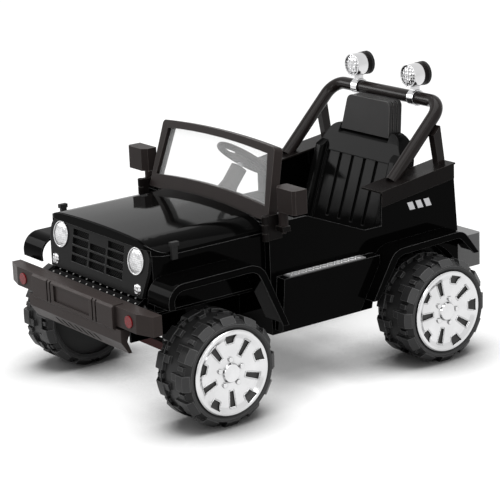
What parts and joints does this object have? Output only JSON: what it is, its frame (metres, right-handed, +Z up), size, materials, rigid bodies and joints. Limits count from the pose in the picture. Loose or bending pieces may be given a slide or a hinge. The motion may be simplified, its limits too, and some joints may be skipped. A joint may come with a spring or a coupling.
{
  "type": "electric ride-on car",
  "caption": "Battery ride-on car for one child: open off-road body with roll hoop, lugged wheels, chrome hub caps, raked windshield and steered front wheels.",
  "frame": {"origin": "on the ground, centred in overall width and length", "axes": "+Z up, -Y towards the car's front, +X towards its left side; the length runs along Y"},
  "size_m": [0.705, 1.052, 0.6825],
  "materials": {
    "body_black": "gloss",
    "trim_grey": "satin",
    "tyre_plastic": "satin",
    "chrome": "polished",
    "clear_pane": "clear",
    "lamp_silver": "pebbled",
    "reflector_red": "gloss",
    "tread_plate": "embossed",
    "matte_black": "matte",
    "latch_rubber": "matte",
    "steel": "plated",
    "axle_paint": "primer",
    "mirror": "mirror",
    "button_red": "gloss",
    "socket_black": "matte"
  },
  "bodies": {
    "chassis": {"body_shell": "body_black", "front_body": "body_black", "hood": "body_black", "front_flares": "body_black", "rear_flares": "body_black", "seat": "body_black", "headrest": "trim_grey", "front_frame": "matte_black", "grille_panel": "trim_grey", "grille_mesh": "matte_black", "headlamp_bowls": "chrome", "headlamp_lenses": "lamp_silver", "turn_lamps": "lamp_silver", "front_bumper": "trim_grey", "bumper_reflectors": "reflector_red", "hood_latches": "latch_rubber", "windshield_frame": "trim_grey", "windshield_pane": "clear_pane", "windshield_brackets": "trim_grey", "roll_bar": "trim_grey", "roll_bar_struts": "trim_grey", "bar_lamp_clamps": "chrome", "bar_lamp_housings": "chrome", "bar_lamp_lenses": "lamp_silver", "bar_lamp_caps": "matte_black", "quarter_rails": "trim_grey", "rear_bumper": "trim_grey", "sill_strips": "tread_plate", "dashboard": "trim_grey", "steering_column": "trim_grey", "front_axle_beam": "axle_paint", "rear_axle": "steel", "gearboxes": "matte_black", "motors": "steel", "battery": "socket_black", "pedal_bracket": "matte_black", "charge_socket": "socket_black"},
    "steering": {"steering_wheel": "trim_grey", "steering_shaft": "steel"},
    "horn": {"horn_button": "button_red"},
    "sound": {"sound_button": "button_red"},
    "tie": {"tie_rod": "steel"},
    "steer_left": {"knuckle_left": "steel"},
    "steer_right": {"knuckle_right": "steel"},
    "wheel_front_left": {"tyre_front_left": "tyre_plastic", "hubcap_front_left": "chrome"},
    "wheel_front_right": {"tyre_front_right": "tyre_plastic", "hubcap_front_right": "chrome"},
    "wheel_rear_left": {"tyre_rear_left": "tyre_plastic", "hubcap_rear_left": "chrome", "drive_hub_left": "matte_black"},
    "wheel_rear_right": {"tyre_rear_right": "tyre_plastic", "hubcap_rear_right": "chrome", "drive_hub_right": "matte_black"},
    "pedal": {"accelerator_pedal": "trim_grey"},
    "rocker": {"direction_rocker": "button_red"},
    "mirror_left": {"mirror_housing_left": "trim_grey", "mirror_glass_left": "mirror"},
    "mirror_right": {"mirror_housing_right": "trim_grey", "mirror_glass_right": "mirror"}
  },
  "joints": [
    {"name": "steering_turn", "type": "hinge", "parent": "chassis", "child": "steering", "pos_m": [0, -0.02478, 0.502], "axis": [0, 0.6225, 0.7826], "range_deg": [-40, 40]},
    {"name": "tie_rod_shift", "type": "slide", "parent": "chassis", "child": "tie", "axis": [1, 0, 0], "range_m": [-0.0157, 0.0157]},
    {"name": "left_knuckle_steer", "type": "hinge", "parent": "chassis", "child": "steer_left", "pos_m": [0.195, -0.335, 0.127], "axis": [0, 0, 1], "range_deg": [-18.1, 18.1]},
    {"name": "right_knuckle_steer", "type": "hinge", "parent": "chassis", "child": "steer_right", "pos_m": [-0.195, -0.335, 0.127], "axis": [0, 0, 1], "range_deg": [-18.1, 18.1]},
    {"name": "front_left_wheel_spin", "type": "hinge", "parent": "steer_left", "child": "wheel_front_left", "pos_m": [0.2865, -0.335, 0.127], "axis": [1, 0, 0], "continuous": true},
    {"name": "front_right_wheel_spin", "type": "hinge", "parent": "steer_right", "child": "wheel_front_right", "pos_m": [-0.2865, -0.335, 0.127], "axis": [1, 0, 0], "continuous": true},
    {"name": "rear_left_wheel_spin", "type": "hinge", "parent": "chassis", "child": "wheel_rear_left", "pos_m": [0.2865, 0.305, 0.127], "axis": [1, 0, 0], "continuous": true},
    {"name": "rear_right_wheel_spin", "type": "hinge", "parent": "chassis", "child": "wheel_rear_right", "pos_m": [-0.2865, 0.305, 0.127], "axis": [1, 0, 0], "continuous": true},
    {"name": "pedal_press", "type": "hinge", "parent": "chassis", "child": "pedal", "pos_m": [-0.085, -0.046, 0.16], "axis": [1, 0, 0], "range_deg": [0, 12], "stiffness_Nm_per_rad": 0.4, "springref_deg": -8.59},
    {"name": "horn_press", "type": "slide", "parent": "steering", "child": "horn", "axis": [0, -0.6225, -0.7826], "range_m": [0, 0.0025], "stiffness_N_per_m": 250, "springref_m": -0.0008},
    {"name": "sound_press", "type": "slide", "parent": "steering", "child": "sound", "axis": [0, -0.6225, -0.7826], "range_m": [0, 0.0025], "stiffness_N_per_m": 250, "springref_m": -0.0008},
    {"name": "direction_select", "type": "hinge", "parent": "chassis", "child": "rocker", "pos_m": [0.096, -0.046, 0.358], "axis": [1, 0, 0], "range_deg": [-10, 10]},
    {"name": "left_mirror_fold", "type": "hinge", "parent": "chassis", "child": "mirror_left", "pos_m": [0.27, -0.118, 0.42], "axis": [0, 0, 1], "range_deg": [0, 60]},
    {"name": "right_mirror_fold", "type": "hinge", "parent": "chassis", "child": "mirror_right", "pos_m": [-0.27, -0.118, 0.42], "axis": [0, 0, -1], "range_deg": [0, 60]}
  ],
  "couplings": [
    {"joint": "tie_rod_shift", "follows": "steering_turn", "m_per_rad": -0.02235},
    {"joint": "left_knuckle_steer", "follows": "steering_turn", "ratio": 0.45},
    {"joint": "right_knuckle_steer", "follows": "steering_turn", "ratio": 0.45}
  ]
}
